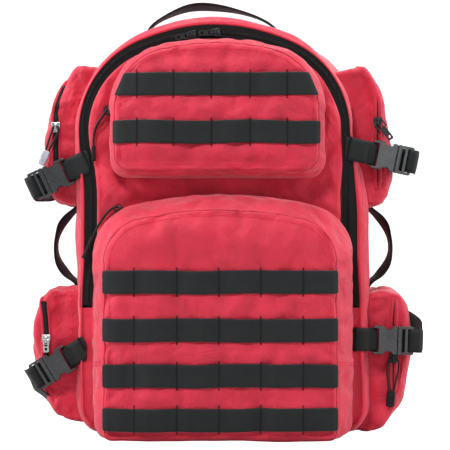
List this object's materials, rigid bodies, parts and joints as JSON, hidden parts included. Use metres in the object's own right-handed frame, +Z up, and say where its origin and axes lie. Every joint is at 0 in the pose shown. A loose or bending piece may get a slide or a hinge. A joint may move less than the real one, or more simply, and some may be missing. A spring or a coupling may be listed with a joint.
{
  "type": "trauma backpack",
  "caption": "Panel-loading first responder backpack with zipped front and side pockets, load webbing, compression straps with side-release buckles and shoulder straps.",
  "frame": {"origin": "middle of the flat base of the main compartment, on the surface it stands on", "axes": "+Z up, -Y towards the front pockets, +Y towards the wearer, +X to the right seen from the front"},
  "size_m": [0.436, 0.2682, 0.4864],
  "materials": {
    "red_fabric": "coated polyester canvas, plain weave",
    "zip_tape": "woven zip tape with nylon coil",
    "black_webbing": "polyester webbing, herringbone weave",
    "spacer_mesh": "air mesh over foam",
    "foam": "closed cell foam sheet",
    "lining": "thin coated lining",
    "padded_fabric": "padded canvas with bound edges",
    "buckle_plastic": "moulded acetal, fine texture",
    "black_metal": "black enamel",
    "nickel": "nickel plated",
    "pull_cord": "braided cord",
    "black_rubber": "moulded rubber",
    "grey_rubber": "moulded rubber"
  },
  "bodies": {
    "pack": {"main_shell": "red_fabric", "main_zip_tape_rear": "zip_tape", "back_panel": "spacer_mesh", "back_foam": "foam", "hydration_sleeve": "lining", "side_pocket_upper_left": "red_fabric", "side_pocket_upper_right": "red_fabric", "side_pocket_lower_left": "red_fabric", "side_pocket_lower_right": "red_fabric", "side_pocket_zips": "zip_tape", "buckle_sockets": "buckle_plastic", "strap_stubs": "black_webbing", "strap_webbing_rear": "black_webbing", "side_handle_anchors": "black_webbing"},
    "front_panel": {"front_panel": "red_fabric", "main_zip_tape_front": "zip_tape", "upper_pocket_base": "red_fabric", "lower_pocket_base": "red_fabric", "front_pocket_zips": "zip_tape"},
    "upper_pocket_lid": {"upper_pocket_lid": "red_fabric", "upper_pocket_webbing": "black_webbing"},
    "lower_pocket_lid": {"lower_pocket_lid": "red_fabric", "lower_pocket_webbing": "black_webbing"},
    "grab_handle": {"grab_handle": "black_webbing"},
    "side_handle_left": {"side_handle_left": "black_webbing"},
    "side_handle_right": {"side_handle_right": "black_webbing"},
    "shoulder_strap_left": {"shoulder_pad_left": "padded_fabric", "strap_adjuster_left": "buckle_plastic", "shoulder_webbing_left": "black_webbing"},
    "shoulder_strap_right": {"shoulder_pad_right": "padded_fabric", "strap_adjuster_right": "buckle_plastic", "shoulder_webbing_right": "black_webbing"},
    "main_slider_left": {"main_slider_left": "black_metal"},
    "main_slider_right": {"main_slider_right": "black_metal"},
    "main_pull_left": {"main_pull_tab_left": "black_metal"},
    "main_pull_right": {"main_pull_tab_right": "black_metal"},
    "upper_pocket_slider": {"upper_pocket_slider": "black_metal"},
    "upper_pocket_pull": {"upper_pocket_pull_cord": "pull_cord", "upper_pocket_toggle": "black_rubber"},
    "lower_pocket_slider": {"lower_pocket_slider": "black_metal"},
    "lower_pocket_pull": {"lower_pocket_pull_cord": "pull_cord", "lower_pocket_toggle": "black_rubber"},
    "side_slider_upper_left": {"side_slider_upper_left": "nickel"},
    "side_pull_upper_left": {"upper_left_pull_cord": "pull_cord", "upper_left_toggle": "grey_rubber"},
    "side_slider_upper_right": {"side_slider_upper_right": "black_metal"},
    "side_pull_upper_right": {"upper_right_pull_tab": "black_metal"},
    "side_slider_lower_left": {"side_slider_lower_left": "nickel"},
    "side_pull_lower_left": {"lower_left_pull_tab": "nickel"},
    "side_slider_lower_right": {"side_slider_lower_right": "black_metal"},
    "side_pull_lower_right": {"lower_right_pull_cord": "pull_cord", "lower_right_toggle": "black_rubber"},
    "buckle_upper_left": {"buckle_plug_upper_left": "buckle_plastic", "strap_webbing_upper_left": "black_webbing"},
    "buckle_upper_right": {"buckle_plug_upper_right": "buckle_plastic", "strap_webbing_upper_right": "black_webbing"},
    "buckle_lower_left": {"buckle_plug_lower_left": "buckle_plastic", "strap_webbing_lower_left": "black_webbing"},
    "buckle_lower_right": {"buckle_plug_lower_right": "buckle_plastic", "strap_webbing_lower_right": "black_webbing"}
  },
  "joints": [
    {"name": "main_panel_open", "type": "hinge", "parent": "pack", "child": "front_panel", "pos_m": [0, -0.0625, 0.0015], "axis": [1, 0, 0], "range_deg": [0, 32]},
    {"name": "upper_pocket_open", "type": "hinge", "parent": "front_panel", "child": "upper_pocket_lid", "pos_m": [0, -0.0733, 0.2802], "axis": [1, 0, 0], "range_deg": [0, 52]},
    {"name": "lower_pocket_open", "type": "hinge", "parent": "front_panel", "child": "lower_pocket_lid", "pos_m": [0, -0.0743, 0.0022], "axis": [1, 0, 0], "range_deg": [0, 75]},
    {"name": "grab_handle_swing", "type": "hinge", "parent": "pack", "child": "grab_handle", "pos_m": [-0.095, 0.079, 0.438], "axis": [0.9987, 0, 0.0508], "range_deg": [-90, 0]},
    {"name": "side_handle_left_swing", "type": "hinge", "parent": "pack", "child": "side_handle_left", "pos_m": [-0.1655, 0.008, 0.205], "axis": [0, 0, 1], "range_deg": [-18, 18]},
    {"name": "side_handle_right_swing", "type": "hinge", "parent": "pack", "child": "side_handle_right", "pos_m": [0.1655, 0.008, 0.205], "axis": [0, 0, 1], "range_deg": [-18, 18]},
    {"name": "shoulder_strap_left_swing", "type": "hinge", "parent": "pack", "child": "shoulder_strap_left", "pos_m": [-0.05, 0.0825, 0.436], "axis": [-0.1961, 0, -0.9806], "range_deg": [-18, 18]},
    {"name": "shoulder_strap_right_swing", "type": "hinge", "parent": "pack", "child": "shoulder_strap_right", "pos_m": [0.05, 0.0825, 0.436], "axis": [0.1961, 0, -0.9806], "range_deg": [-18, 18]},
    {"name": "main_slider_left_travel", "type": "hinge", "parent": "front_panel", "child": "main_slider_left", "pos_m": [0, -0.062, 0.226], "axis": [0, 1, 0], "range_deg": [-6, 0.5]},
    {"name": "main_pull_left_swing", "type": "hinge", "parent": "main_slider_left", "child": "main_pull_left", "pos_m": [-0.03471, -0.0661, 0.43565], "axis": [-0.1633, 0, 0.9866], "range_deg": [0, 120]},
    {"name": "main_slider_right_travel", "type": "hinge", "parent": "front_panel", "child": "main_slider_right", "pos_m": [0, -0.062, 0.226], "axis": [0, 1, 0], "range_deg": [-0.3, 22]},
    {"name": "main_pull_right_swing", "type": "hinge", "parent": "main_slider_right", "child": "main_pull_right", "pos_m": [-0.0089, -0.0661, 0.43831], "axis": [-0.0419, 0, 0.9991], "range_deg": [0, 120]},
    {"name": "upper_pocket_slider_travel", "type": "slide", "parent": "front_panel", "child": "upper_pocket_slider", "axis": [0, 0, 1], "range_m": [-0.045, 0.004]},
    {"name": "upper_pocket_pull_swing", "type": "hinge", "parent": "upper_pocket_slider", "child": "upper_pocket_pull", "pos_m": [-0.1261, -0.071, 0.353], "axis": [0, 1, 0], "range_deg": [-15, 90]},
    {"name": "lower_pocket_slider_travel", "type": "hinge", "parent": "front_panel", "child": "lower_pocket_slider", "pos_m": [-0.085, -0.072, 0.197], "axis": [0, -1, 0], "range_deg": [-14, 16]},
    {"name": "lower_pocket_pull_swing", "type": "hinge", "parent": "lower_pocket_slider", "child": "lower_pocket_pull", "pos_m": [-0.11455, -0.072, 0.24818], "axis": [0, 1, 0], "range_deg": [0, 80]},
    {"name": "side_slider_upper_left_travel", "type": "slide", "parent": "pack", "child": "side_slider_upper_left", "axis": [0, 0, 1], "range_m": [-0.055, 0.008]},
    {"name": "side_pull_upper_left_swing", "type": "hinge", "parent": "side_slider_upper_left", "child": "side_pull_upper_left", "pos_m": [-0.184, -0.0494, 0.3365], "axis": [-1, 0, 0], "range_deg": [0, 100]},
    {"name": "side_slider_upper_right_travel", "type": "slide", "parent": "pack", "child": "side_slider_upper_right", "axis": [0, 0, 1], "range_m": [-0.06, 0.018]},
    {"name": "side_pull_upper_right_swing", "type": "hinge", "parent": "side_slider_upper_right", "child": "side_pull_upper_right", "pos_m": [0.17, -0.0494, 0.342], "axis": [-0.788, 0, -0.6157], "range_deg": [0, 120]},
    {"name": "side_slider_lower_left_travel", "type": "slide", "parent": "pack", "child": "side_slider_lower_left", "axis": [0, 0, 1], "range_m": [-0.008, 0.033]},
    {"name": "side_pull_lower_left_swing", "type": "hinge", "parent": "side_slider_lower_left", "child": "side_pull_lower_left", "pos_m": [-0.1945, -0.0494, 0.103], "axis": [-1, 0, 0], "range_deg": [0, 120]},
    {"name": "side_slider_lower_right_travel", "type": "slide", "parent": "pack", "child": "side_slider_lower_right", "axis": [0, 0, 1], "range_m": [-0.03, 0]},
    {"name": "side_pull_lower_right_swing", "type": "hinge", "parent": "side_slider_lower_right", "child": "side_pull_lower_right", "pos_m": [0.187, -0.0494, 0.083], "axis": [-1, 0, 0], "range_deg": [0, 85]},
    {"name": "buckle_upper_left_release", "type": "slide", "parent": "pack", "child": "buckle_upper_left", "axis": [-0.9063, 0, -0.4226], "range_m": [0, 0.03]},
    {"name": "buckle_upper_right_release", "type": "slide", "parent": "pack", "child": "buckle_upper_right", "axis": [0.9796, 0, -0.2011], "range_m": [0, 0.03]},
    {"name": "buckle_lower_left_release", "type": "slide", "parent": "pack", "child": "buckle_lower_left", "axis": [-0.8572, 0, -0.515], "range_m": [0, 0.03]},
    {"name": "buckle_lower_right_release", "type": "slide", "parent": "pack", "child": "buckle_lower_right", "axis": [0.9994, 0, -0.0349], "range_m": [0, 0.03]}
  ]
}
